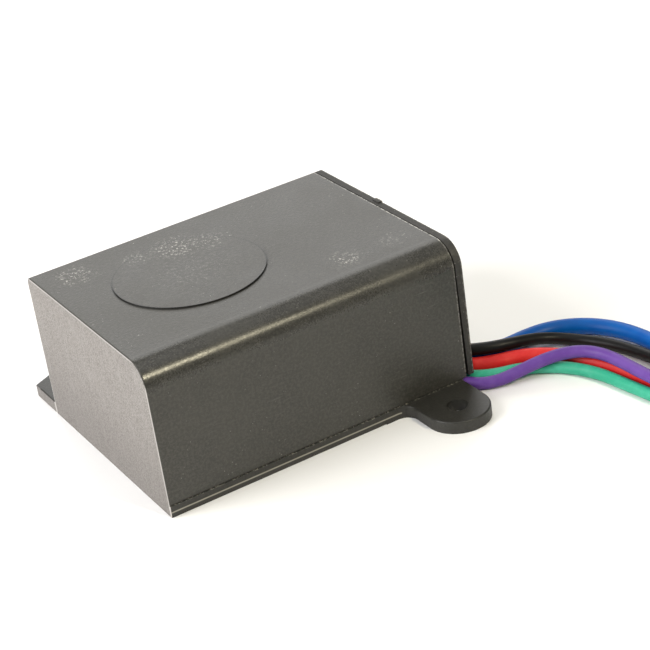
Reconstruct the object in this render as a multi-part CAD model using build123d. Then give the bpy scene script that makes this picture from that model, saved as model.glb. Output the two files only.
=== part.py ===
from build123d import *
import math
import os

# A small surge protector module: a moulded box with two fixing ears, a plug-in end cover,
# a populated board inside, and five hook-up leads that run out over the surface it stands on.
# Millimetres. X runs along the box to the lead end, Y to the back, Z up from the standing
# surface. The origin is the middle of the footprint that the box and its ears take.

# box
body_length = 76.0  # closed end to the outer face of the end cover
body_width = 57.4
body_height = 34.9
side_wall = 1.8
end_wall = 2.0
front_edge_r = 5.7  # round along the front top edge
back_edge_r = 1.6  # round along the back top edge
edge_round = 0.35  # round on the moulding's other outer edges
cover_thick = 1.95
seam_gap = 0.25  # shadow gap between the box and its cover
seam_opens = 0.45  # how much wider the gap is at the bottom
base_thick = 2.8
base_lip = 0.25  # the base stands this far proud of the side walls
lip_line = 1.3  # height of the base's widest line
disc_r = 16.8
disc_rise = 0.35
disc_x = -10.6
disc_y = 3.0

# fixing ears
ear_r = 7.2
ear_reach = 8.2  # side wall to the hole
ear_hole_r = 2.4
ear_blend_r = 3.0
front_ear_x = 27.6
back_ear_x = -30.8
rough_edge_y = 39.3  # where the back ear's straight, rough outer edge meets the left end
rough_edge_slope = 0.52

# end cover
skirt_clear = 0.2
skirt_thick = 1.4
skirt_deep = 3.0
key_y = 2.4  # place of the cover's key along the top of the seam
key_width = 2.6
key_long = 1.5
key_cover = 0.9  # what is left of the box's top wall over the key
nub_width = 2.4  # the small raised block on the cover's top, over the key
nub_long = 1.1
nub_rise = 0.3
nub_back = 0.2  # cover's outer face to the nub

# channel that lets the leads out at floor level, at the front corner
channel_x = 23.5
channel_back = -1.4
lead_groove = 0.35
tail_straight = 7.0  # how far each lead runs straight before it leaves the box

# board and what it carries
board_low = 7.8
board_thick = 1.6
board_x = (-33.0, 18.0)
board_y = (-24.6, 24.6)
board_top = board_low + board_thick
post_r = 3.0
post_places = [(-29.5, -8.0), (-29.5, 8.0), (8.0, -21.6), (12.0, 21.4)]
screw_r = 1.0
screw_head_r = 2.1
screw_head_high = 1.4
screw_deep = 3.6  # how far the screws reach below the board's underside
liner_thick = 0.4
row_y = [-16.0, 0.0, 16.0]  # the three protected lines, front to back
line_names = ["front", "middle", "back"]
varistor_x = -14.0
varistor_r = 10.0
varistor_thick = 5.0
varistor_z = 20.9
arm_pivot_x = 2.0
arm_pivot_z = 14.0
arm_pin_r = 1.0
arm_clear = 0.05
arm_hub_r = 2.0
arm_tip = (-1.7, 27.5)
arm_blade = 0.8
pin_half = 3.6  # half the length of a pivot pin
cheek_inside = 2.5  # line's middle to the inner face of a bracket's cheek
cheek_outside = 3.2
spring_r = 1.9
fuse_x = -25.5
fuse_high = 2.7  # board to the fuses' axes
fuse_r = 2.3
fuse_cap_r = 2.6
gas_tube_y = 14.4
gas_tube_r = 3.7
gas_tube_cap_r = 4.0
tab_long = 3.0
tab_wide = 3.2

# leads
thin = 2.75
thick = 3.7
coil_centre = (90.0, -82.7)
coil_low = 0.7
coil_high = 12.6
coil_step = 22.5  # degrees of turn per unit in lead_lanes
tie_angle = 240.0
tie_band = 0.6
coil_in = 18.1
coil_out = 28.9
strip_length = 8.0

lead_routes = {
    "purple": [
        (33.5, -25.9, 1.4), (35.9, -28.6, 1.4), (38.4, -31.6, 1.4), (42.0, -33.3, 1.7),
        (46.2, -34.4, 2.7), (50.4, -36.1, 4.05), (54.8, -37.8, 4.8), (58.5, -40.4, 5.1),
        (60.8, -44.4, 5.1), (61.7, -49.6, 4.9), (62.0, -55.6, 4.7), (62.4, -62.4, 4.7),
        (63.2, -69.7, 5.0), (64.2, -76.4, 5.35), (64.2, -82.7, 5.4),
    ],
    "green": [
        (33.5, -21.4, 1.4), (36.3, -24.6, 1.4), (39.3, -28.1, 1.4), (43.2, -30.4, 1.4),
        (47.2, -31.6, 1.4), (51.0, -34.0, 1.4), (54.5, -37.3, 1.4), (57.3, -41.7, 1.4),
        (59.1, -47.0, 1.4), (59.9, -53.2, 1.4), (60.9, -60.3, 1.45), (62.0, -68.2, 1.6),
        (62.5, -76.0, 2.0), (62.7, -82.7, 2.1),
    ],
    "red": [
        (33.5, -16.45, 1.87), (36.9, -20.3, 1.87), (40.7, -24.4, 1.87), (45.0, -26.6, 1.87),
        (49.7, -28.0, 1.87), (54.1, -30.9, 1.87), (57.8, -35.4, 1.87), (60.6, -40.7, 1.87),
        (62.6, -47.1, 1.87), (64.1, -54.7, 1.87), (65.2, -62.7, 1.95), (65.9, -70.4, 2.2),
        (66.0, -77.0, 2.55), (66.0, -82.7, 2.6),
    ],
    "black": [
        (33.5, -13.5, 4.7), (37.0, -17.4, 4.7), (40.8, -21.3, 4.7), (45.1, -24.2, 4.7),
        (49.7, -25.5, 4.4), (54.0, -25.8, 3.7), (58.0, -26.2, 2.8), (61.7, -27.7, 1.9),
        (64.9, -30.7, 1.4), (67.4, -34.7, 1.4), (69.4, -39.4, 1.4), (70.7, -45.2, 1.5),
        (71.2, -52.6, 2.2), (70.8, -60.5, 3.5), (69.7, -68.4, 4.7), (68.5, -75.8, 5.2),
        (67.9, -82.7, 5.3),
    ],
    "blue": [
        (33.5, -10.6, 1.87), (37.1, -14.6, 1.87), (41.1, -18.5, 1.87), (45.8, -21.3, 1.87),
        (51.0, -22.2, 1.87), (56.3, -21.9, 1.87), (61.6, -22.4, 1.87), (66.5, -24.6, 1.87),
        (70.4, -28.2, 1.87), (73.2, -32.8, 1.87), (74.8, -38.2, 1.87), (75.4, -44.8, 1.87),
        (75.1, -52.6, 1.87), (74.1, -61.0, 1.95), (72.3, -69.0, 2.2), (70.5, -76.2, 2.55),
        (69.8, -82.7, 2.6),
    ],
}
lead_sizes = {"purple": thin, "green": thin, "red": thick, "black": thin, "blue": thick}
lead_tail_routes = {
    "purple": [(14.8, -21.0, 11.6), (20.3, -21.0, 11.4), (24.4, -19.0, 5.6)],
    "green": [(14.8, -16.6, 11.6), (20.3, -16.2, 11.4), (24.2, -14.9, 5.4)],
    "red": [(14.8, -11.8, 12.1), (20.6, -11.6, 11.9), (24.3, -11.4, 5.1)],
    "black": [(14.8, -6.9, 11.6), (20.3, -6.6, 11.4), (24.6, -6.4, 8.8)],
    "blue": [(14.8, -2.0, 12.1), (20.6, -2.0, 11.9), (24.4, -3.6, 6.2)],
}
# each lead's lane in the coil: its radius about the coil's centre, its height, and its steps round
lead_lanes = {
    "purple": (25.8, 5.4, 23),
    "green": (27.3, 2.1, 22),
    "red": (24.0, 2.6, 24),
    "black": (22.1, 5.3, 25),
    "blue": (20.2, 2.6, 26),
}
coil_rise = 5.7  # the second turn lies this much higher than the first

half_length = body_length / 2
half_width = body_width / 2
mouth_x = half_length - cover_thick - seam_gap


def box_between(low, high):
    """A block from its low corner to its high corner."""
    size = [b - a for a, b in zip(low, high)]
    middle = [(a + b) / 2 for a, b in zip(low, high)]
    return Pos(*middle) * Box(*size)


def rod(start, end, radius):
    """A round bar between two points."""
    start = Vector(*start)
    along = Vector(*end) - start
    return extrude(Plane(origin=start, z_dir=along) * Circle(radius), amount=along.length)


def end_outline(inset, z_low):
    """The box seen from its end, moved in by inset: large round in front, small one behind."""
    z_high = body_height - inset
    with BuildSketch() as outline:
        with Locations((0, (z_low + z_high) / 2)):
            Rectangle(body_width - 2 * inset, z_high - z_low)
        top = outline.vertices().sort_by(Axis.Y)[-2:].sort_by(Axis.X)
        fillet(top[0], max(front_edge_r - inset, 0.6))
        top = outline.vertices().sort_by(Axis.X)[-2:].sort_by(Axis.Y)
        fillet(top[-1], max(back_edge_r - inset, 0.4))
    return outline.sketch


def along_x(sketch, x_low, x_high):
    """Extrudes an outline drawn in Y and Z from one X to another."""
    return extrude(Plane.YZ.offset(x_low) * sketch, amount=x_high - x_low)


def base_plate():
    """The thick base: proud of the side walls, and drawn in under its widest line."""
    side = half_width + base_lip
    points = [
        (-half_width, 0), (half_width, 0), (side, lip_line), (side, base_thick),
        (-side, base_thick), (-side, lip_line),
    ]
    return along_x(make_face(Polyline(*points, close=True)), -half_length, mouth_x)


def tail_route(name):
    """A lead's unseen inner part: from its tab on the board, in line with the lead outside."""
    start = Vector(*lead_routes[name][0])
    along = (Vector(*lead_routes[name][1]) - start).normalized()
    return lead_tail_routes[name] + [tuple(start - along * tail_straight), tuple(start)]


def rough_edge(x):
    """Distance back to the rough outer edge of the back ear."""
    return rough_edge_y + rough_edge_slope * (x + half_length)


def corner_web():
    """Fills the outer left corner of the back ear up to its rough edge."""
    hole_y = half_width + ear_reach
    points = [
        (-half_length, hole_y), (back_ear_x, hole_y), (back_ear_x, rough_edge(back_ear_x)),
        (-half_length, rough_edge(-half_length)),
    ]
    return extrude(make_face(Polyline(*points, close=True)), amount=base_thick)


def beyond_rough_edge():
    """What the rough edge takes off the round end of the back ear."""
    left = -half_length - ear_r
    right = back_ear_x + ear_r
    far = half_width + ear_reach + 3 * ear_r
    points = [(left, rough_edge(left)), (right, rough_edge(right)), (right, far), (left, far)]
    return extrude(make_face(Polyline(*points, close=True)), amount=2 * base_thick)


def ear(centre_x, toward, blend_side):
    """One fixing ear: straight sides, a round end about its hole, and a blend into the wall."""
    hole_y = toward * (half_width + ear_reach)
    wall_y = toward * half_width
    with BuildSketch() as plan:
        with Locations((centre_x, (hole_y + wall_y) / 2)):
            Rectangle(2 * ear_r, ear_reach)
        with Locations((centre_x, hole_y)):
            Circle(ear_r)
        strip = ear_r + 2 * ear_blend_r
        with Locations((centre_x + blend_side * strip / 2, wall_y)):
            Rectangle(strip, 2 * base_lip)
        corner = Vector(centre_x + blend_side * ear_r, wall_y + toward * base_lip)
        blend = plan.vertices().sort_by_distance(corner)[0]
        fillet(blend, ear_blend_r)
    block = extrude(plan.sketch, amount=base_thick)
    rim = [
        e for e in block.faces().sort_by(Axis.Z)[-1].edges()
        if abs(e.center().Y) > half_width + edge_round
    ]
    block = fillet(rim, edge_round)
    if toward > 0:
        block += corner_web()
        block -= beyond_rough_edge()
    return block - Pos(centre_x, hole_y, base_thick / 2) * Cylinder(ear_hole_r, 2 * base_thick)


def tube(points, diameter, grow=0.0):
    """A lead: straight runs joined by arcs, each as large as its two runs allow."""
    radii = []
    for before, here, after in zip(points, points[1:], points[2:]):
        run_in = Vector(*here) - Vector(*before)
        run_out = Vector(*after) - Vector(*here)
        half_turn = math.radians(run_in.get_angle(run_out)) / 2
        radii.append(0.45 * min(run_in.length, run_out.length) / math.tan(half_turn))
    path = FilletPolyline(*points, radius=radii)
    circle = Plane(origin=path @ 0, z_dir=path % 0) * Circle(diameter / 2 + grow)
    return sweep(circle, path=path), path.length, radii


def enclosure():
    """The moulding: closed left end, open right end, raised disc, board posts and two ears."""
    shell = along_x(end_outline(0, 0), -half_length, mouth_x)
    end_edges = shell.faces().sort_by(Axis.X)[0].edges()
    shell = fillet([e for e in end_edges if e.center().Z > base_thick], edge_round)
    shell += base_plate()
    shell += ear(front_ear_x, -1, -1)
    shell += ear(back_ear_x, 1, 1)
    shell += Pos(disc_x, disc_y, body_height + disc_rise / 2 - 0.1) * Cylinder(
        disc_r, disc_rise + 0.2
    )
    shell -= along_x(end_outline(side_wall, base_thick), end_wall - half_length, half_length)
    for x, y in post_places:
        middle = (base_thick + board_low) / 2
        shell += Pos(x, y, middle) * Cylinder(post_r, board_low - base_thick)
        shell -= Pos(x, y, board_low - 2.0) * Cylinder(screw_r, 4.0)
    shell -= box_between(
        (channel_x, side_wall - half_width, -1), (half_length, channel_back, base_thick + 0.1)
    )
    shell -= tube(lead_routes["purple"][:4], thin, lead_groove)[0]
    shell -= box_between(
        (mouth_x - key_long, key_y - key_width / 2 - 0.3, body_height - side_wall - 0.1),
        (mouth_x, key_y + key_width / 2 + 0.3, body_height - key_cover + 0.1),
    )
    return shell


def lead_window():
    """The opening in the end cover, open at the bottom and round the front corner."""
    points = [
        (-31, -1), (-31, 3.2), (-27.5, 3.2), (-26.3, 4.3), (-25.3, 5.6), (-24.3, 6.7),
        (-9.4, 6.7), (-9.4, -1),
    ]
    return make_face(Polyline(*points, close=True))


def end_cover():
    """The plug-in cover: a plate, a skirt and a key inside the mouth, and a nub on top."""
    inner = mouth_x + seam_gap
    plate = along_x(end_outline(0, 0.4), inner, half_length)
    plate = chamfer(plate.faces().sort_by(Axis.X)[-1].edges(), 0.3)
    wedge = make_face(
        Polyline((inner, body_height), (inner + seam_opens, 0), (inner - 1, 0),
                 (inner - 1, body_height), close=True)
    )
    plate -= extrude(Plane.XZ.offset(-half_width - 1) * wedge, amount=body_width + 2)
    inset = side_wall + skirt_clear
    skirt = along_x(
        end_outline(inset, base_thick + skirt_clear) - end_outline(
            inset + skirt_thick, base_thick + skirt_clear + skirt_thick
        ),
        mouth_x - skirt_deep,
        inner + 0.9,
    )
    skirt -= box_between((mouth_x - 9, -half_width, 0), (inner, channel_back + 1.0, 8.0))
    key = box_between(
        (mouth_x - key_long + 0.3, key_y - key_width / 2, body_height - side_wall - 0.6),
        (inner + 0.9, key_y + key_width / 2, body_height - key_cover),
    )
    nub = box_between(
        (half_length - nub_back - nub_long, key_y - nub_width / 2, body_height - 0.9),
        (half_length - nub_back, key_y + nub_width / 2, body_height + nub_rise),
    )
    return plate + skirt + key + nub - along_x(lead_window(), mouth_x - 9, half_length + 1)


def lead_grommet():
    """The soft block cast round the leads where they pass the base."""
    return box_between((28.5, -26.7, 0.1), (33.5, channel_back - 0.2, 7.4))


def circuit_board():
    """The board, with a clearance hole over each post."""
    board = box_between(
        (board_x[0], board_y[0], board_low), (board_x[1], board_y[1], board_top)
    )
    for x, y in post_places:
        board -= Pos(x, y, board_low) * Cylinder(screw_r + 0.3, 8)
    return board


def board_screws():
    """Four pan-head screws, one in each post."""
    shank_low = board_low - screw_deep
    screws = []
    for x, y in post_places:
        shank = Pos(x, y, (shank_low + board_top) / 2) * Cylinder(screw_r, board_top - shank_low)
        head = Pos(x, y, board_top + screw_head_high / 2) * Cylinder(
            screw_head_r, screw_head_high
        )
        head -= Pos(x, y, board_top + 1.2) * Box(2.6, 0.5, 0.6)
        head -= Pos(x, y, board_top + 1.2) * Box(0.5, 2.6, 0.6)
        screws.append(shank + head)
    return Compound(children=screws)


def insulating_sheet():
    """A thin liner on the base, cut round the posts and short of the lead channel."""
    sheet = box_between((-35.8, -26.7, base_thick), (channel_x - 0.5, 26.7, base_thick + liner_thick))
    for x, y in post_places:
        sheet -= Pos(x, y, base_thick) * Cylinder(post_r + 0.2, 3)
    return sheet


def varistor_spacer():
    """The moulded spacer that keeps the varistors off the top wall."""
    top = body_height - side_wall
    return box_between((-24, -19.5, varistor_z + varistor_r + 0.1), (-4, 19.5, top))


def varistor(y):
    """A coated disc on edge, with two legs to the board and a solder tab towards its arm."""
    facing = Plane(origin=(varistor_x, y, varistor_z), z_dir=(0, 1, 0))
    disc = extrude(facing * Circle(varistor_r), amount=varistor_thick / 2, both=True)
    disc = fillet(disc.edges().filter_by(GeomType.CIRCLE), 1.4)
    for side in (-1, 1):
        foot = (varistor_x + side * 3.75, y, board_top)
        disc += rod(foot, (foot[0], y, varistor_z - 8), 0.5)
    return disc + box_between((varistor_x + 8.0, y - 1.5, 25.6), (-2.5, y + 1.5, 26.6))


def arm_profile():
    """The arm from the side: a hub about the pin and a blade that leans on the solder tab."""
    hub = Pos(arm_pivot_x, arm_pivot_z) * Circle(arm_hub_r)
    foot = Vector(arm_pivot_x - 1.2, arm_pivot_z)
    tip = Vector(*arm_tip)
    across = (tip - foot).normalized().rotate(Axis.Z, 90) * (arm_blade / 2)
    corners = [foot + across, tip + across, tip - across, foot - across]
    blade = make_face(Polyline(*[(c.X, c.Y) for c in corners], close=True))
    bore = Pos(arm_pivot_x, arm_pivot_z) * Circle(arm_pin_r + arm_clear)
    return hub + blade - bore


def disconnector_arm(y):
    """A sprung strip that swings off its varistor when the solder lets go."""
    return extrude(Plane.XZ.offset(-(y + 0.2)) * arm_profile(), amount=2.2)


def arm_bracket(y):
    """Two cheeks on a foot, holding the ends of one pivot pin."""
    low_x = arm_pivot_x - 2.2
    high_x = arm_pivot_x + 2.2
    bracket = box_between(
        (low_x, y - cheek_outside, board_top), (high_x, y + cheek_outside, board_top + 0.6)
    )
    for side in (-1, 1):
        near, far = sorted((y + side * cheek_inside, y + side * cheek_outside))
        bracket += box_between((low_x, near, board_top), (high_x, far, arm_pivot_z + 2.0))
    return bracket - rod(
        (arm_pivot_x, y - 4, arm_pivot_z), (arm_pivot_x, y + 4, arm_pivot_z), arm_pin_r
    )


def arm_pin(y):
    """The pivot pin of one arm."""
    return rod(
        (arm_pivot_x, y - pin_half, arm_pivot_z), (arm_pivot_x, y + pin_half, arm_pivot_z), arm_pin_r
    )


def arm_spring(y):
    """The coil of one torsion spring, on the pin beside the hub."""
    outer = rod(
        (arm_pivot_x, y + 0.5, arm_pivot_z), (arm_pivot_x, y + 2.3, arm_pivot_z), spring_r
    )
    return outer - rod((arm_pivot_x, y, arm_pivot_z), (arm_pivot_x, y + 3, arm_pivot_z), arm_pin_r)


def line_fuse(y):
    """A ceramic fuse lying across the board, with a metal cap at each end."""
    z = board_top + fuse_high
    body = rod((fuse_x, y - 4.6, z), (fuse_x, y + 4.6, z), fuse_r)
    for side in (-1, 1):
        body += rod((fuse_x, y + side * 3.4, z), (fuse_x, y + side * 5.6, z), fuse_cap_r)
    return body


def gas_tube():
    """The gas discharge tube, with a metal cap at each end."""
    z = board_top + gas_tube_cap_r
    body = rod((7.0, gas_tube_y, z), (13.0, gas_tube_y, z), gas_tube_r)
    for x in (6.4, 12.0):
        body += rod((x, gas_tube_y, z), (x + 1.6, gas_tube_y, z), gas_tube_cap_r)
    return body


def capacitor():
    """The film capacitor's moulded box."""
    block = box_between((6.0, 2.4, board_top), (16.0, 7.9, board_top + 10.0))
    return fillet(block.edges().filter_by(Axis.Z), 0.8)


def resistors():
    """Two small axial resistors, bodies and bent legs."""
    group = []
    for x, y in ((5.0, -8.0), (4.0, 9.6)):
        z = board_top + 1.6
        body = rod((x - 3.0, y, z), (x + 3.0, y, z), 1.2)
        for side in (-1, 1):
            body += rod((x + side * 2.9, y, z), (x + side * 4.4, y, z), 0.35)
            body += rod((x + side * 4.1, y, board_top), (x + side * 4.1, y, z + 0.3), 0.35)
        group.append(body)
    return Compound(children=group)


def lead_tabs():
    """Five tinned tabs on the board, one for each lead."""
    tabs = []
    for route in lead_tail_routes.values():
        x, y, z = route[0]
        tabs.append(
            box_between((x - tab_long, y - tab_wide / 2, board_top), (x, y + tab_wide / 2, z + 1.4))
        )
    return Compound(children=tabs)


def coil_point(radius, z, angle):
    """A point in the coil, by its angle in degrees."""
    turned = math.radians(angle)
    return (
        coil_centre[0] + radius * math.cos(turned),
        coil_centre[1] + radius * math.sin(turned),
        z,
    )


def lead_coil():
    """The outer shape of the five leads wound together for storage."""
    height = coil_high - coil_low
    ring = Cylinder(coil_out, height) - Cylinder(coil_in, height + 2)
    return Pos(*coil_centre, (coil_low + coil_high) / 2) * ring


def coil_tie():
    """A strap round the coil's bundle, with its locking head outside."""
    wide = 3.6
    low = (coil_in - 0.1 - tie_band, -wide / 2, 0.05)
    high = (coil_out + 0.1 + tie_band, wide / 2, coil_high + 0.1 + tie_band)
    inside_low = (low[0] + tie_band, -wide, low[2] + tie_band)
    inside_high = (high[0] - tie_band, wide, high[2] - tie_band)
    strap = box_between(low, high) - box_between(inside_low, inside_high)
    strap = fillet(strap.edges().filter_by(Axis.Y), tie_band * 0.4)
    head = box_between((high[0] - 0.1, -2.6, 5.0), (high[0] + 3.0, 2.6, 9.6))
    head = chamfer(head.edges().filter_by(Axis.Y), 0.5)
    return Pos(*coil_centre, 0) * Rot(0, 0, tie_angle) * (strap + head)


def lead_end_angle(name):
    """Where a lead's insulation ends in the coil."""
    return 180.0 + coil_step * lead_lanes[name][2]


def bare_end(name):
    """The stripped strands at the end of one lead."""
    radius, z, _ = lead_lanes[name]
    angle = lead_end_angle(name)
    start = Vector(*coil_point(radius, z + coil_rise, angle))
    turned = math.radians(angle)
    along = Vector(-math.sin(turned), math.cos(turned), 0)
    return rod(tuple(start), tuple(start + along * strip_length), lead_sizes[name] * 0.34)


os.makedirs("parts", exist_ok=True)
nodes = {
    "enclosure": enclosure(),
    "end_cover": end_cover(),
    "lead_grommet": lead_grommet(),
    "circuit_board": circuit_board(),
    "board_screws": board_screws(),
    "insulating_sheet": insulating_sheet(),
    "varistor_spacer": varistor_spacer(),
    "arm_brackets": Compound(children=[arm_bracket(y) for y in row_y]),
    "arm_pins": Compound(children=[arm_pin(y) for y in row_y]),
    "arm_springs": Compound(children=[arm_spring(y) for y in row_y]),
    "line_fuses": Compound(children=[line_fuse(y) for y in row_y]),
    "gas_tube": gas_tube(),
    "capacitor": capacitor(),
    "resistors": resistors(),
    "lead_tabs": lead_tabs(),
    "lead_coil": lead_coil(),
    "coil_tie": coil_tie(),
}
for place, y in zip(line_names, row_y):
    nodes[f"varistor_{place}"] = varistor(y)
    nodes[f"disconnector_arm_{place}"] = disconnector_arm(y)
for name, route in lead_routes.items():
    solid, length, radii = tube(route, lead_sizes[name])
    nodes[f"{name}_lead"] = solid
    nodes[f"{name}_lead_tail"] = tube(tail_route(name), lead_sizes[name])[0]
    nodes[f"{name}_lead_end"] = bare_end(name)
    wound = math.radians(lead_end_angle(name) - 180) * lead_lanes[name][0]
    section = math.pi * lead_sizes[name] ** 2 / 4
    print(
        name,
        "run", round(length, 1),
        "volume", round(solid.volume, 1),
        "section x length", round(section * length, 1),
        "whole lead", round(length + wound, 1),
        "bend radii", [round(r, 1) for r in radii],
    )

for node, shape in nodes.items():
    export_step(shape, f"parts/{node}.step")
print(len(nodes), "nodes")
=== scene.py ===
import bpy
import math
from mathutils import Matrix, Vector


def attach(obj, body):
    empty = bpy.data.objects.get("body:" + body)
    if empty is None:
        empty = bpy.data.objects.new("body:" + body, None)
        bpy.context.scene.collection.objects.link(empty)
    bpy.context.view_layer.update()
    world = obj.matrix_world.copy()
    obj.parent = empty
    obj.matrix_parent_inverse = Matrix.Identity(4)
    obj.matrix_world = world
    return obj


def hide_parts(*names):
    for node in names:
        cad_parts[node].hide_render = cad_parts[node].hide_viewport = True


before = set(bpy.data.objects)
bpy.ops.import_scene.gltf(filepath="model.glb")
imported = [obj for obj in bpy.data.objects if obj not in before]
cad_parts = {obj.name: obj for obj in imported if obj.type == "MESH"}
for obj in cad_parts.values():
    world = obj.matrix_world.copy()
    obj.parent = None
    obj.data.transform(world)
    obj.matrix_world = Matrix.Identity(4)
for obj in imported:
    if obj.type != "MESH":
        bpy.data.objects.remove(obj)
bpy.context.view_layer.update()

MM = 0.001
LINES = ("front", "middle", "back")


def add_object(name, data):
    obj = bpy.data.objects.new(name, data)
    bpy.context.collection.objects.link(obj)
    return obj


# ---------------------------------------------------------------- camera
CAMERA_AT = (-0.15916, -0.34200, 0.21386)
CAMERA_RIGHT = (0.85234, -0.50361, -0.14103)
CAMERA_UP = (0.34295, 0.33464, 0.87773)
CAMERA_BACK = (-0.39483, -0.79649, 0.45794)
CAMERA_LENS = 107.5
CAMERA_SENSOR = 36
CAMERA_SHIFT = (0.0514, -0.0148)


def add_camera():
    data = bpy.data.cameras.new("camera")
    data.lens = CAMERA_LENS
    data.sensor_width = CAMERA_SENSOR
    data.shift_x, data.shift_y = CAMERA_SHIFT
    data.clip_start = 0.01
    camera = add_object("camera", data)
    turn = Matrix((CAMERA_RIGHT, CAMERA_UP, CAMERA_BACK)).transposed()
    camera.matrix_world = Matrix.Translation(CAMERA_AT) @ turn.to_4x4()
    bpy.context.scene.camera = camera


add_camera()

# ---------------------------------------------------------------- leads
# Each route runs from the grommet to the coil, in millimetres in the shared frame.
ROUTES = {
    "purple": [
        (33.5, -25.9, 1.4), (35.9, -28.6, 1.4), (38.4, -31.6, 1.4), (42.0, -33.3, 1.7),
        (46.2, -34.4, 2.7), (50.4, -36.1, 4.05), (54.8, -37.8, 4.8), (58.5, -40.4, 5.1),
        (60.8, -44.4, 5.1), (61.7, -49.6, 4.9), (62.0, -55.6, 4.7), (62.4, -62.4, 4.7),
        (63.2, -69.7, 5.0), (64.2, -76.4, 5.35), (64.2, -82.7, 5.4),
    ],
    "green": [
        (33.5, -21.4, 1.4), (36.3, -24.6, 1.4), (39.3, -28.1, 1.4), (43.2, -30.4, 1.4),
        (47.2, -31.6, 1.4), (51.0, -34.0, 1.4), (54.5, -37.3, 1.4), (57.3, -41.7, 1.4),
        (59.1, -47.0, 1.4), (59.9, -53.2, 1.4), (60.9, -60.3, 1.45), (62.0, -68.2, 1.6),
        (62.5, -76.0, 2.0), (62.7, -82.7, 2.1),
    ],
    "red": [
        (33.5, -16.45, 1.87), (36.9, -20.3, 1.87), (40.7, -24.4, 1.87), (45.0, -26.6, 1.87),
        (49.7, -28.0, 1.87), (54.1, -30.9, 1.87), (57.8, -35.4, 1.87), (60.6, -40.7, 1.87),
        (62.6, -47.1, 1.87), (64.1, -54.7, 1.87), (65.2, -62.7, 1.95), (65.9, -70.4, 2.2),
        (66.0, -77.0, 2.55), (66.0, -82.7, 2.6),
    ],
    "black": [
        (33.5, -13.5, 4.7), (37.0, -17.4, 4.7), (40.8, -21.3, 4.7), (45.1, -24.2, 4.7),
        (49.7, -25.5, 4.4), (54.0, -25.8, 3.7), (58.0, -26.2, 2.8), (61.7, -27.7, 1.9),
        (64.9, -30.7, 1.4), (67.4, -34.7, 1.4), (69.4, -39.4, 1.4), (70.7, -45.2, 1.5),
        (71.2, -52.6, 2.2), (70.8, -60.5, 3.5), (69.7, -68.4, 4.7), (68.5, -75.8, 5.2),
        (67.9, -82.7, 5.3),
    ],
    "blue": [
        (33.5, -10.6, 1.87), (37.1, -14.6, 1.87), (41.1, -18.5, 1.87), (45.8, -21.3, 1.87),
        (51.0, -22.2, 1.87), (56.3, -21.9, 1.87), (61.6, -22.4, 1.87), (66.5, -24.6, 1.87),
        (70.4, -28.2, 1.87), (73.2, -32.8, 1.87), (74.8, -38.2, 1.87), (75.4, -44.8, 1.87),
        (75.1, -52.6, 1.87), (74.1, -61.0, 1.95), (72.3, -69.0, 2.2), (70.5, -76.2, 2.55),
        (69.8, -82.7, 2.6),
    ],
}
THIN = 2.75
THICK = 3.7
DIAMETERS = {"purple": THIN, "green": THIN, "red": THICK, "black": THIN, "blue": THICK}
# Lane in the coil: radius, height and steps round, then the lead's length in metres
# from its exit to the end of its insulation.
LANES = {
    "purple": (25.8, 5.4, 23, 0.306),
    "green": (27.3, 2.1, 22, 0.309),
    "red": (24.0, 2.6, 24, 0.306),
    "black": (22.1, 5.3, 25, 0.308),
    "blue": (20.2, 2.6, 26, 0.305),
}
COIL_CENTRE = (90.0, -82.7)
COIL_STEP = 22.5
COIL_RISE = 5.7
RISE_FROM = 250.0  # degrees round the first turn where it starts to climb


def smooth(t):
    t = min(max(t, 0.0), 1.0)
    return t * t * (3 - 2 * t)


def coil_spot(radius, turned, z):
    x, y = COIL_CENTRE
    return x + radius * math.cos(turned), y + radius * math.sin(turned), z


def coil_points(radius, height, steps):
    """The turns: flat for most of the first, then a climb on to it."""
    outside = radius / math.cos(math.radians(COIL_STEP / 2))
    points = []
    for i in range(1, steps + 1):
        angle = COIL_STEP * i
        z = height + COIL_RISE * smooth((angle - RISE_FROM) / (360 - RISE_FROM))
        reach = outside if i < steps else radius
        points.append(coil_spot(reach, math.radians(180 + angle), z))
    return points


def tube_curve(name, roundness):
    """An empty curve whose tubes are as thick as their points' own radii."""
    data = bpy.data.curves.new(name, "CURVE")
    data.dimensions = "3D"
    data.bevel_depth = 1.0
    data.bevel_resolution = roundness
    data.use_fill_caps = True
    return data


def add_tube(data, points, diameter):
    """A tube on one NURBS spline, from points and a diameter in millimetres."""
    spline = data.splines.new("NURBS")
    spline.points.add(len(points) - 1)
    for spot, (x, y, z) in zip(spline.points, points):
        spot.co = (x * MM, y * MM, z * MM, 1)
        spot.radius = diameter * MM / 2
    spline.order_u = 3
    spline.use_endpoint_u = True
    return spline


def lead_run(name, colour):
    """A lead's insulation, from its exit to the end of its turns."""
    radius, height, steps, _ = LANES[colour]
    data = tube_curve(name, 7)
    points = ROUTES[colour] + coil_points(radius, height, steps)
    add_tube(data, points, DIAMETERS[colour]).resolution_u = 10
    return add_object(name, data)


STRAND_RING = 6  # strands round the middle one
STRAND_POINTS = 12
STRAND_TWIST = 3.2  # radians from end to end
STRAND_BURIED = 1.0
STRAND_BARE = 7.9
BUNDLE_RADIUS = 0.34  # of the lead's diameter


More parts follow.
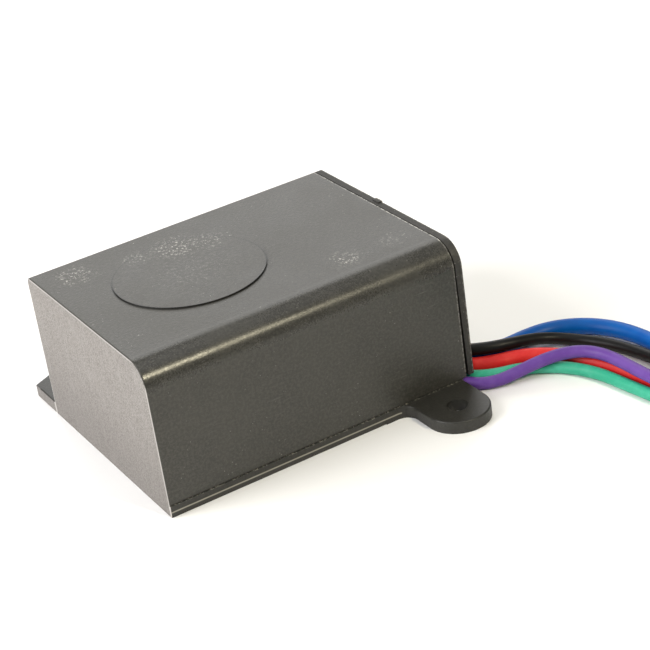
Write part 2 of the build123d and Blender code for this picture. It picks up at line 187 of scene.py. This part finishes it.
def strand_bundle(name, colour):
    """Twisted strands standing out of a lead's cut end."""
    radius, height, steps, _ = LANES[colour]
    turned = math.radians(180 + COIL_STEP * steps)
    start = Vector(coil_spot(radius, turned, height + COIL_RISE))
    along = Vector((-math.sin(turned), math.cos(turned), 0))
    side = Vector((math.cos(turned), math.sin(turned), 0))
    up = Vector((0, 0, 1))
    strand = DIAMETERS[colour] * BUNDLE_RADIUS / 3
    data = tube_curve(name, 3)
    for i in range(STRAND_RING + 1):
        out = 2 * strand if i < STRAND_RING else 0.0
        points = []
        for j in range(STRAND_POINTS):
            t = j / (STRAND_POINTS - 1)
            spin = 2 * math.pi * i / STRAND_RING + STRAND_TWIST * t
            reach = start + along * ((STRAND_BURIED + STRAND_BARE) * t - STRAND_BURIED)
            points.append(reach + side * out * math.cos(spin) + up * out * math.sin(spin))
        add_tube(data, points, 2 * strand)
    return add_object(name, data)


leads = {}
strands = {}
for colour in ROUTES:
    lead = lead_run(f"{colour}_lead_run", colour)
    strand = strand_bundle(f"{colour}_lead_strands", colour)
    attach(lead, "housing")
    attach(strand, "housing")
    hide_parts(f"{colour}_lead", "lead_coil")
    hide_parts(f"{colour}_lead_end")
    leads[colour] = lead
    strands[colour] = strand


# ---------------------------------------------------------------- shader helpers
class Wire:
    """A shader socket that takes part in sums."""

    def __init__(self, mat, socket):
        self.mat = mat
        self.socket = socket

    def _maths(self, operation, *others):
        return self.mat.node("ShaderNodeMath", self, *others, operation=operation)

    def __add__(self, other):
        return self._maths("ADD", other)

    def __radd__(self, other):
        return self._maths("ADD", other)

    def __sub__(self, other):
        return self._maths("SUBTRACT", other)

    def __rsub__(self, other):
        return self.mat.node("ShaderNodeMath", other, self, operation="SUBTRACT")

    def __mul__(self, other):
        return self._maths("MULTIPLY", other)

    def __rmul__(self, other):
        return self._maths("MULTIPLY", other)

    def __pow__(self, other):
        return self._maths("POWER", other)

    def abs(self):
        return self._maths("ABSOLUTE")

    def high(self, other):
        return self._maths("MAXIMUM", other)

    def step(self, start, end, low=0.0, high=1.0):
        """A smooth change from low to high as this goes from start to end."""
        return self.mat.node(
            "ShaderNodeMapRange", self, start, end, low, high,
            interpolation_type="SMOOTHSTEP", clamp=True,
        )

    def band(self, middle, half, soft):
        """1 near middle, and 0 further than half + soft from it."""
        return (self - middle).abs().step(half, half + soft, 1.0, 0.0)


class Finish:
    """A material under construction."""

    def __init__(self, name, roughness=0.5, metallic=0.0, **constants):
        self.data = bpy.data.materials.new(name)
        self.data.use_nodes = True
        self.tree = self.data.node_tree
        self.shader = self.tree.nodes["Principled BSDF"]
        self.shader.inputs["Roughness"].default_value = roughness
        self.shader.inputs["Metallic"].default_value = metallic
        for key, value in constants.items():
            self.shader.inputs[key.replace("_", " ")].default_value = value
        coords = self.tree.nodes.new("ShaderNodeTexCoord")
        self.place = self.node(
            "ShaderNodeVectorMath", Wire(self, coords.outputs["Object"]), (1000.0,) * 3,
            operation="MULTIPLY",
        )
        split = self.node("ShaderNodeSeparateXYZ", self.place)
        parts = split.socket.node.outputs
        self.x, self.y, self.z = (Wire(self, parts[i]) for i in range(3))

    def node(self, kind, *inputs, **settings):
        """Adds a node, sets or links its inputs in order, and returns its first output."""
        made = self.tree.nodes.new(kind)
        for key, value in settings.items():
            setattr(made, key, value)
        for value, socket in zip(inputs, made.inputs):
            if isinstance(value, Wire):
                self.tree.links.new(value.socket, socket)
            elif value is not None:
                socket.default_value = value
        return Wire(self, made.outputs[0])

    def stretched(self, x=1.0, y=1.0, z=1.0):
        return self.node(
            "ShaderNodeVectorMath", self.place, (x, y, z), operation="MULTIPLY"
        )

    def noise(self, scale, detail=3.0, rough=0.55, where=None):
        return self.node(
            "ShaderNodeTexNoise", where or self.place, None, scale, detail, rough
        )

    def cells(self, scale, feature="F1"):
        return self.node(
            "ShaderNodeTexVoronoi", self.place, None, scale, feature=feature
        )

    def away_from(self, x, y):
        """How far a point is from the upright line at x and y."""
        return ((self.x - x) ** 2.0 + (self.y - y) ** 2.0) ** 0.5

    def mix(self, factor, first, second):
        """A colour between first and second."""
        made = self.tree.nodes.new("ShaderNodeMix")
        made.data_type = "RGBA"
        for value, index in ((factor, 0), (first, 6), (second, 7)):
            if isinstance(value, Wire):
                self.tree.links.new(value.socket, made.inputs[index])
            elif index:
                made.inputs[index].default_value = (*value, 1)
            else:
                made.inputs[index].default_value = value
        return Wire(self, made.outputs[2])

    def colour(self, value):
        self.tree.links.new(value.socket, self.shader.inputs["Base Color"])

    def roughness(self, value):
        self.tree.links.new(value.socket, self.shader.inputs["Roughness"])

    def bump(self, height, distance):
        """Height is 0 to 1, and distance is the depth of that in millimetres."""
        made = self.tree.nodes.new("ShaderNodeBump")
        made.inputs["Strength"].default_value = 1.0
        made.inputs["Distance"].default_value = distance * MM
        self.tree.links.new(height.socket, made.inputs["Height"])
        self.tree.links.new(made.outputs[0], self.shader.inputs["Normal"])


# ---------------------------------------------------------------- the moulding
LEFT_FACE = -38.0
TOP_FACE = 34.9
FRONT_FACE = -28.7
DISC_X, DISC_Y, DISC_RADIUS = -10.6, 3.0, 16.8
MOUTH = 35.8  # where the box meets its end cover
COVER_FACE = 38.0
BASE_TOP = 3.3
BASE_EDGE = 2.8
LIP_LINE = 1.35
# Scuffed places on the top: x, y, reach and strength.
SCUFFS = (
    (-7.0, 16.0, 8.0, 0.9), (-0.5, 13.0, 6.0, 0.6), (-30.0, 20.5, 6.5, 0.8),
    (16.5, -17.0, 5.5, 0.8), (28.0, -17.0, 4.0, 0.3), (-16.0, 17.5, 5.0, 0.5),
    (-10.0, 2.0, 13.0, 0.18),
)


def on_top(f):
    return f.z.step(TOP_FACE - 0.5, TOP_FACE - 0.1)


def moulded(f, tint):
    """Grain, mottle, handling marks and dust, as a colour, a roughness and a height."""
    grain = f.noise(3.2, 4.0, 0.6)
    blotch = f.noise(0.07, 4.0, 0.6)
    drag = f.noise(1.0, 3.0, 0.6, f.stretched(0.12, 2.6, 2.6))
    marks = drag.step(0.62, 0.74) * f.noise(0.16, 2.0).step(0.45, 0.65)
    dust = f.noise(1.5, 3.0, 0.7).step(0.66, 0.74) * f.noise(0.11, 3.0).step(0.5, 0.66)
    specks = f.cells(1.1).step(0.05, 0.16, 1.0, 0.0) * f.noise(0.2, 2.0).step(0.52, 0.7)
    mottle = f.noise(1.6, 3.0, 0.7)
    base = f.mix(blotch.step(0.3, 0.7), tint, tuple(c * 1.35 for c in tint))
    base = f.mix(mottle.step(0.4, 0.65) * 0.6, base, tuple(c * 2.3 for c in tint))
    base = f.mix(marks * 0.12, base, (0.30, 0.29, 0.27))
    base = f.mix(dust * (on_top(f) * 0.5 + 0.18), base, (0.55, 0.53, 0.5))
    base = f.mix(specks * 0.5, base, (0.5, 0.48, 0.45))
    rough = grain * 0.14 + blotch * 0.2 + 0.22
    height = grain * 0.6 + marks * 0.4 + mottle * 0.8
    # handling has polished the large round along the front
    polished = f.y.step(-21.5, -24.5) * f.z.step(27.5, 30.0)
    return base, rough - polished * 0.11, height * (1.0 - polished * 0.65)


def scuffed_top(f, base):
    """A dark line round the disc's rim, and worn, dusty places."""
    rim = f.away_from(DISC_X, DISC_Y).band(DISC_RADIUS, 0.12, 0.25) * on_top(f)
    base = f.mix(rim * 0.75, base, (0.012, 0.012, 0.012))
    scuff = f.noise(1.5, 4.0, 0.8, f.stretched(1.0, 0.7, 1.0)).step(0.525, 0.645)
    patches = None
    for x, y, reach, strength in SCUFFS:
        patch = f.away_from(x, y).step(reach * 0.2, reach, strength, 0.0)
        patches = patch if patches is None else patches.high(patch)
    return f.mix(scuff * patches * on_top(f), base, (0.46, 0.44, 0.41))


def rough_end(f, base, rough, height):
    """The left end, paler partly for its rough texture and partly as painted light from the
    left lamp: fine speckle, slanting smears and worn edges, with painted shade darker towards
    the bottom.
    """
    end = f.x.step(LEFT_FACE + 0.12, LEFT_FACE + 0.02)
    speckle = f.noise(2.6, 4.0, 0.75)
    leaning = f.node("ShaderNodeMapping", f.place, None, (0.45, 0.0, 0.0), (1.0, 1.5, 0.35))
    smear = f.noise(0.45, 4.0, 0.65, leaning)
    # painted light: the pale tint is partly the rough end's own colour and partly stands in
    # for the left lamp's strong light on this end
    pale = f.mix(speckle.step(0.36, 0.64), (0.135, 0.122, 0.112), (0.28, 0.262, 0.246))
    pale = f.mix(smear.step(0.45, 0.7) * 0.4, pale, (0.28, 0.262, 0.247))
    # painted shade: the end is darkened towards the bottom
    pale = f.mix(f.z.step(2.0, 26.0, 0.4, 0.0), pale, (0.115, 0.104, 0.096))
    upper = f.z.step(TOP_FACE - 0.5, TOP_FACE - 0.2)
    edge = f.y.abs().band(-FRONT_FACE - 0.1, 0.25, 0.2).high(upper)
    pale = f.mix(edge * 0.9, pale, (0.46, 0.44, 0.42))
    base = f.mix(end, base, pale)
    return base, rough + end * 0.25, height + end * (speckle * 1.8 + smear * 0.8)


def chips_and_lip_highlight(f, base):
    """Chips along the mouth's rim; a painted highlight along the base's lip line, and pale
    nicks along the base's upper edge.
    """
    chips = f.noise(2.0, 3.0, 0.7).step(0.42, 0.6)
    seam = f.x.step(MOUTH - 0.4, MOUTH - 0.15)
    base = f.mix(seam * chips * (on_top(f) * 0.45 + 0.3), base, (0.55, 0.53, 0.49))
    side = f.y.band(FRONT_FACE - 0.1, 0.25, 0.1)
    nick = f.noise(1.6, 3.0, 0.7).step(0.5, 0.62)
    upper = f.z.band(BASE_EDGE, 0.05, 0.10) * nick
    # painted highlight: a bright line along the lip, together with the nicked upper edge of
    # the base
    lip_highlight_and_nicks = f.z.band(LIP_LINE, 0.08, 0.16) * 0.75 + upper * 0.45
    return f.mix(lip_highlight_and_nicks * side, base, (0.40, 0.38, 0.32))


def case_plastic():
    f = Finish("case_finish", IOR=1.48)
    base, rough, height = moulded(f, (0.029, 0.028, 0.024))
    # painted shade: the base and its ears are darkened below the walls, standing in for the
    # box shading them from the back light
    base = f.mix(f.z.step(BASE_TOP, BASE_TOP - 0.4) * 0.6, base, (0.010, 0.010, 0.008))
    base = scuffed_top(f, base)
    base, rough, height = rough_end(f, base, rough, height)
    f.colour(chips_and_lip_highlight(f, base))
    f.roughness(rough)
    f.bump(height, 0.055)
    return f.data


def cover_plastic():
    """Duller than the box, with its outer edge worn pale in places."""
    f = Finish("cover_finish", IOR=1.48)
    base, rough, height = moulded(f, (0.022, 0.021, 0.019))
    worn = f.noise(1.4, 3.0, 0.7).step(0.45, 0.62)
    corner = f.x.band(COVER_FACE - 0.3, 0.12, 0.14)
    outer = f.z.step(TOP_FACE - 0.6, TOP_FACE - 0.3).high(f.y.step(-28.0, -28.4))
    f.colour(f.mix(corner * worn * outer * 0.5, base, (0.42, 0.40, 0.36)))
    f.roughness(rough + 0.25)
    f.bump(height, 0.055)
    return f.data


def soft_insulation(name, tint, pale):
    """Smooth extruded wire covering, slightly dull, with faint drag marks."""
    f = Finish(name, IOR=1.42, Specular_IOR_Level=0.3)
    cloud = f.noise(0.22, 3.0, 0.6)
    smear = f.noise(2.2, 3.0, 0.6, f.stretched(0.25, 0.6, 1.6))
    base = f.mix(cloud.step(0.35, 0.7) * 0.5, tint, pale)
    base = f.mix(smear.step(0.62, 0.78) * 0.25, base, pale)
    f.colour(base)
    f.roughness(smear * 0.2 + cloud * 0.12 + 0.26)
    f.bump(smear * 0.6 + cloud * 0.5, 0.03)
    return f.data


def bare_metal(name, tint, dark, roughness=0.3, grain=(0.3, 5.0, 5.0)):
    f = Finish(name, metallic=1.0)
    lines = f.noise(2.4, 3.0, 0.6, f.stretched(*grain))
    stain = f.noise(0.35, 4.0, 0.6)
    f.colour(f.mix(lines * 0.4 + stain.step(0.45, 0.75) * 0.5, tint, dark))
    f.roughness(lines * 0.2 + stain * 0.2 + (roughness - 0.15))
    f.bump(lines, 0.02)
    return f.data


def coated(name, tint, dark, roughness=0.3, scale=0.9, depth=0.08, coat=0.3):
    """Dipped or moulded covering with a slight orange-peel."""
    f = Finish(name)
    f.shader.inputs["Coat Weight"].default_value = coat
    peel = f.noise(scale, 3.0, 0.5)
    cloud = f.noise(0.18, 3.0, 0.6)
    f.colour(f.mix(peel * 0.35 + cloud.step(0.4, 0.7) * 0.45, tint, dark))
    f.roughness(peel * 0.2 + (roughness - 0.1))
    f.bump(peel, depth)
    return f.data


def board_finish():
    """Green solder mask over copper tracks, with bare pads."""
    f = Finish("board_finish")
    tracks = f.cells(0.16, feature="DISTANCE_TO_EDGE").step(0.05, 0.09, 1.0, 0.0)
    pads = f.cells(0.22).step(0.10, 0.13, 1.0, 0.0)
    weave = f.noise(2.0, 2.0, 0.5, f.stretched(1.0, 1.0, 6.0))
    base = f.mix(weave * 0.5, (0.012, 0.10, 0.03), (0.02, 0.16, 0.05))
    base = f.mix(tracks * 0.6, base, (0.04, 0.27, 0.08))
    base = f.mix(pads, base, (0.62, 0.60, 0.55))
    f.colour(base)
    f.roughness(pads * -0.1 + weave * 0.15 + 0.32)
    f.bump(tracks * 0.6 + pads * 0.5 + weave * 0.2, 0.04)
    return f.data


FUSE_ROWS = (-16.0, 0.0, 16.0)
FUSE_BODY = 3.4  # from a fuse's middle to its caps
FUSE_END = 7.0


def fuse_finish():
    """Glazed ceramic with plated caps at both ends of each fuse."""
    f = Finish("fuse_finish")
    cap = None
    for row in FUSE_ROWS:
        away = (f.y - row).abs()
        ends = away.step(FUSE_BODY - 0.05, FUSE_BODY + 0.05)
        ends = ends * away.step(FUSE_END, FUSE_END + 0.1, 1.0, 0.0)
        cap = ends if cap is None else cap + ends
    tone = f.noise(1.1, 3.0)
    glaze = f.mix(tone, (0.78, 0.75, 0.68), (0.9, 0.88, 0.82))
    plating = f.mix(tone, (0.55, 0.54, 0.5), (0.75, 0.74, 0.7))
    f.colour(f.mix(cap, glaze, plating))
    f.tree.links.new(cap.socket, f.shader.inputs["Metallic"])
    f.roughness(tone * 0.25 + 0.2)
    f.bump(tone, 0.03)
    return f.data


def ribbed_nylon():
    f = Finish("tie_finish")
    ribs = f.node("ShaderNodeMath", f.z * 6.0, operation="SINE")
    grain = f.noise(2.5, 3.0)
    f.colour(f.mix(grain, (0.012, 0.012, 0.012), (0.03, 0.03, 0.03)))
    f.roughness(grain * 0.3 + 0.35)
    f.bump(ribs * 0.3 + grain * 0.3, 0.1)
    return f.data


case = case_plastic()
cover = cover_plastic()
insulation = {
    "purple": soft_insulation("purple_finish", (0.115, 0.045, 0.27), (0.17, 0.085, 0.36)),
    "green": soft_insulation("green_finish", (0.03, 0.36, 0.22), (0.10, 0.48, 0.34)),
    "red": soft_insulation("red_finish", (0.68, 0.02, 0.02), (0.80, 0.06, 0.05)),
    "black": soft_insulation("black_finish", (0.005, 0.005, 0.005), (0.012, 0.012, 0.012)),
    "blue": soft_insulation("blue_finish", (0.0, 0.09, 0.40), (0.0, 0.13, 0.48)),
}
copper = bare_metal("copper_finish", (0.85, 0.42, 0.24), (0.45, 0.2, 0.1), 0.35)
steel = bare_metal("steel_finish", (0.66, 0.66, 0.65), (0.34, 0.34, 0.34), 0.32)
dark_steel = bare_metal("spring_finish", (0.36, 0.36, 0.38), (0.14, 0.14, 0.15), 0.35)
tin = bare_metal("tin_finish", (0.72, 0.72, 0.70), (0.45, 0.45, 0.44), 0.3, (2.0, 2.0, 2.0))
brass = bare_metal("brass_finish", (0.78, 0.58, 0.26), (0.42, 0.29, 0.11), 0.3)
blue_epoxy = coated("varistor_finish", (0.02, 0.12, 0.40), (0.01, 0.07, 0.24))
yellow_box = coated("capacitor_finish", (0.76, 0.56, 0.10), (0.6, 0.42, 0.06), 0.35)
tan_lacquer = coated("resistor_finish", (0.55, 0.40, 0.25), (0.34, 0.22, 0.13), 0.35)
grey_mould = coated("spacer_finish", (0.17, 0.17, 0.18), (0.10, 0.10, 0.11), 0.5, 2.0, 0.03, 0)
film = coated("liner_finish", (0.72, 0.70, 0.62), (0.6, 0.58, 0.5), 0.4, 1.2, 0.02, 0.1)
rubber = coated(
    "grommet_finish", (0.022, 0.022, 0.022), (0.012, 0.012, 0.012), 0.6, 2.5, 0.04, 0
)
board = board_finish()
fuses = fuse_finish()
nylon = ribbed_nylon()

finishes = {
    "enclosure": case, "end_cover": cover, "lead_grommet": rubber, "circuit_board": board,
    "board_screws": steel, "insulating_sheet": film, "varistor_spacer": grey_mould,
    "arm_brackets": steel, "arm_pins": steel, "arm_springs": dark_steel, "line_fuses": fuses,
    "gas_tube": tin, "capacitor": yellow_box, "resistors": tan_lacquer, "lead_tabs": tin,
    "coil_tie": nylon,
}
for place in LINES:
    finishes[f"varistor_{place}"] = blue_epoxy
    finishes[f"disconnector_arm_{place}"] = brass
for colour in ROUTES:
    finishes[f"{colour}_lead_tail"] = insulation[colour]
for node, finish in finishes.items():
    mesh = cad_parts[node].data
    if not mesh.materials:
        mesh.materials.append(finish)
    for i in range(len(mesh.materials)):
        mesh.materials[i] = finish
for colour in ROUTES:
    leads[colour].data.materials.append(insulation[colour])
    strands[colour].data.materials.append(copper)

# ---------------------------------------------------------------- floor and light
FLOOR_HALF = 4.0
def add_floor():
    data = bpy.data.meshes.new("floor")
    corners = ((-FLOOR_HALF, -FLOOR_HALF, 0.0), (FLOOR_HALF, -FLOOR_HALF, 0.0),
               (FLOOR_HALF, FLOOR_HALF, 0.0), (-FLOOR_HALF, FLOOR_HALF, 0.0))
    data.from_pydata(corners, [], [(0, 1, 2, 3)])
    floor = add_object("floor", data)
    f = Finish("floor_finish", IOR=1.4)
    tone = f.noise(0.02, 2.0)
    f.colour(f.mix(tone, (0.93, 0.93, 0.925), (0.95, 0.95, 0.945)))
    f.roughness(tone * 0.1 + 0.28)
    data.materials.append(f.data)


def add_light(name, at, look_at, size, watts, tint=(1, 1, 1)):
    data = bpy.data.lights.new(name, "AREA")
    data.shape = "SQUARE"
    data.size = size
    data.energy = watts
    data.color = tint
    away = Vector(at) - Vector(look_at)
    turn = away.to_track_quat("Z", "Y").to_matrix().to_4x4()
    add_object(name, data).matrix_world = Matrix.Translation(at) @ turn


add_floor()
add_light(
    "left_softbox", at=(-0.75, 0.10, 0.45), look_at=(0, 0, 0.02), size=0.6, watts=10.5,
    tint=(1.0, 0.985, 0.97),
)
add_light(
    "back_softbox", at=(0.40, 0.85, 0.60), look_at=(0, 0, 0.03), size=0.8, watts=4.3,
    tint=(1.0, 0.99, 0.97),
)
add_light("overhead_softbox", at=(0.0, -0.1, 1.1), look_at=(0, 0, 0), size=1.0, watts=3.4)
add_light(
    "front_softbox", at=(0.24, -0.70, 0.62), look_at=(-0.02, -0.02, 0.03), size=0.07,
    watts=3.6, tint=(1.0, 0.91, 0.66),
)

world = bpy.data.worlds.new("studio")
world.use_nodes = True
sky = world.node_tree.nodes["Background"]
sky.inputs["Color"].default_value = (1.0, 1.0, 1.0, 1.0)
sky.inputs["Strength"].default_value = 0.25
bpy.context.scene.world = world
bpy.context.scene.view_settings.view_transform = "Standard"
